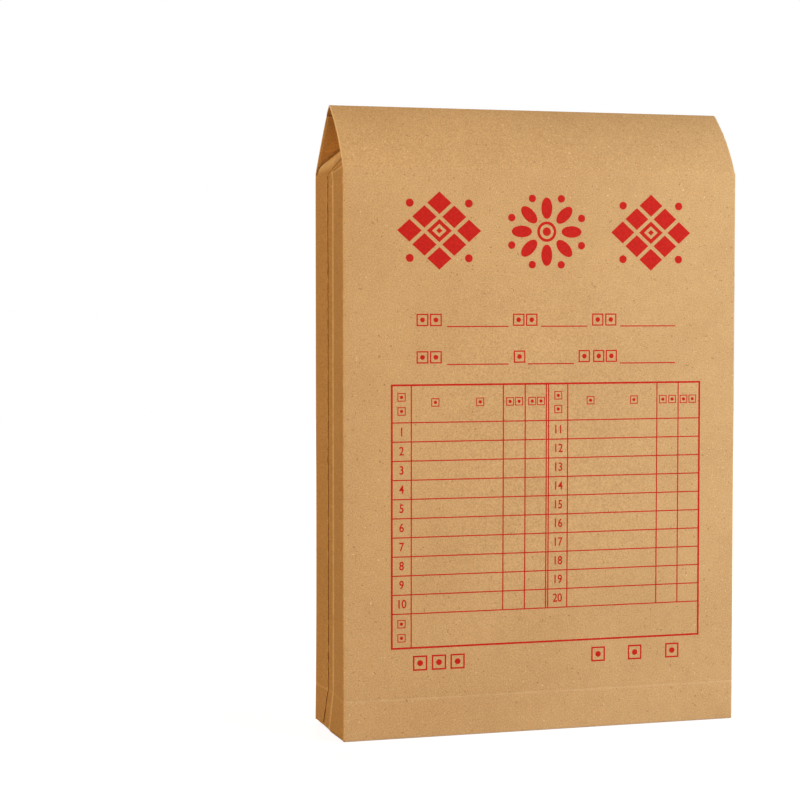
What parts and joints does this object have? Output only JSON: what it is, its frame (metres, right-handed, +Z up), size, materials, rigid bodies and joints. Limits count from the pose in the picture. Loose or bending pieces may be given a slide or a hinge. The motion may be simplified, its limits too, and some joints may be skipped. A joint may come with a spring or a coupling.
{
  "type": "string-tie document bag",
  "caption": "Upright kraft board document bag with side gussets, a ruled printed form, and a rear flap closed by a string wound round two button discs.",
  "frame": {"origin": "middle of the base, on the surface that the bag stands on, halfway between the front and back walls", "axes": "+Z up, -Y out of the printed front wall, +X to the right seen from the front; the flap, the buttons and the string are on the +Y side"},
  "size_m": [0.23, 0.0622, 0.3449],
  "materials": {
    "kraft_board": "matte kraft board, brown, with fine fibre flecks",
    "white_disc": "smooth white coated fibreboard",
    "fibre_washer": "matte brown fibreboard",
    "nickel": "nickel plated steel, bright",
    "cotton_string": "white twisted cotton"
  },
  "bodies": {
    "root": {"front_panel": "kraft_board", "front_shoulder": "kraft_board", "back_panel": "kraft_board", "left_gusset_front": "kraft_board", "left_gusset_back": "kraft_board", "right_gusset_front": "kraft_board", "right_gusset_back": "kraft_board", "glue_lap": "kraft_board", "left_infold_front": "kraft_board", "right_infold_front": "kraft_board", "left_web_front": "kraft_board", "left_web_back": "kraft_board", "right_web_front": "kraft_board", "right_web_back": "kraft_board", "bottom_outer_flap": "kraft_board", "bottom_inner_flap": "kraft_board", "left_bottom_tuck": "kraft_board", "right_bottom_tuck": "kraft_board", "lower_rivet": "nickel", "lower_washer": "fibre_washer"},
    "lip": {"back_lip": "kraft_board", "left_infold_back": "kraft_board", "right_infold_back": "kraft_board"},
    "flap": {"closing_flap": "kraft_board", "upper_rivet": "nickel", "upper_washer": "fibre_washer", "string": "cotton_string"},
    "upper_disc": {"upper_button": "white_disc"},
    "lower_disc": {"lower_button": "white_disc"}
  },
  "joints": [
    {"name": "flap_fold", "type": "hinge", "parent": "root", "child": "flap", "pos_m": [0, 0, 0.345], "axis": [1, 0, 0], "range_deg": [0, 210], "deforming": ["string"]},
    {"name": "lip_spring", "type": "hinge", "parent": "root", "child": "lip", "pos_m": [0, 0.029, 0.309], "axis": [-1, 0, 0], "range_deg": [0, 42], "deforming": ["left_web_back", "right_web_back"]},
    {"name": "upper_button_turn", "type": "hinge", "parent": "flap", "child": "upper_disc", "pos_m": [0, 0.02022, 0.32514], "axis": [0, 0.788, 0.6157], "continuous": true},
    {"name": "lower_button_turn", "type": "hinge", "parent": "root", "child": "lower_disc", "pos_m": [0, 0.029, 0.277], "axis": [0, 1, 0], "continuous": true}
  ],
  "couplings": [
    {"joint": "lip_spring", "follows": "flap_fold", "ratio": 0.2}
  ]
}
